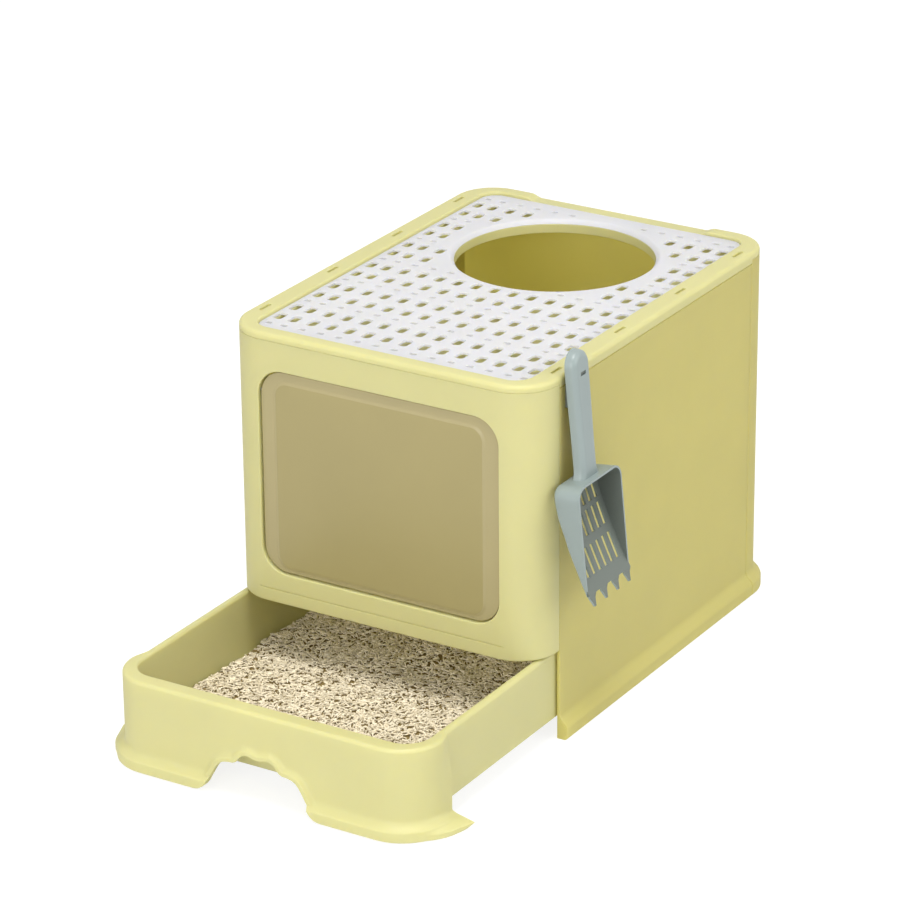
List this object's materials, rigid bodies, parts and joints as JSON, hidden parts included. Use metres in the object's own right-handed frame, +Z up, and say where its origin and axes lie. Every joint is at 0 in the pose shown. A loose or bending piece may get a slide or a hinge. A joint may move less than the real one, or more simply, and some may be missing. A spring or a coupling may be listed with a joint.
{
  "type": "drawer litter box",
  "caption": "Closed box for a cat with a round top entry in a perforated plate, a swinging front flap, a pull-out litter drawer and a scoop hung on its side.",
  "frame": {"origin": "on the floor, in the middle of the box's footprint", "axes": "+X to the right seen from the front, -Y out of the front where the drawer opens, +Z up"},
  "size_m": [0.4594, 0.768, 0.4351],
  "materials": {
    "panel": "moulded polypropylene, satin",
    "lid": "moulded polypropylene, satin",
    "drawer": "moulded polypropylene, satin",
    "plate": "moulded polypropylene, fine matte",
    "flap": "smoke-tinted translucent plastic",
    "pin": "drawn wire",
    "litter": "loose pressed pellets",
    "scoop": "moulded ABS, satin"
  },
  "bodies": {
    "box": {"base_tray": "panel", "side_panel_left": "panel", "side_panel_right": "panel", "back_panel": "panel", "front_panel": "panel", "hinge_pin_left": "pin", "hinge_pin_right": "pin", "scoop_hook": "scoop"},
    "flap": {"door_flap": "flap"},
    "lid": {"lid": "lid"},
    "plate": {"paw_plate": "plate"},
    "drawer": {"drawer": "drawer", "litter_bed": "litter"},
    "scoop": {"scoop": "scoop"}
  },
  "joints": [
    {"name": "drawer_slide", "type": "slide", "parent": "box", "child": "drawer", "axis": [0, -1, 0], "range_m": [-0.214, 0.15]},
    {"name": "flap_swing", "type": "hinge", "parent": "box", "child": "flap", "pos_m": [0, -0.2539, 0.3435], "axis": [1, 0, 0], "range_deg": [-70, 70]},
    {"name": "lid_lift", "type": "slide", "parent": "box", "child": "lid", "axis": [0, 0, 1], "range_m": [0, 0.15]},
    {"name": "plate_lift", "type": "slide", "parent": "lid", "child": "plate", "axis": [0, 0, 1], "range_m": [0, 0.07]},
    {"name": "scoop_off", "type": "slide", "parent": "box", "child": "scoop", "axis": [1, 0, 0], "range_m": [0, 0.12]}
  ]
}
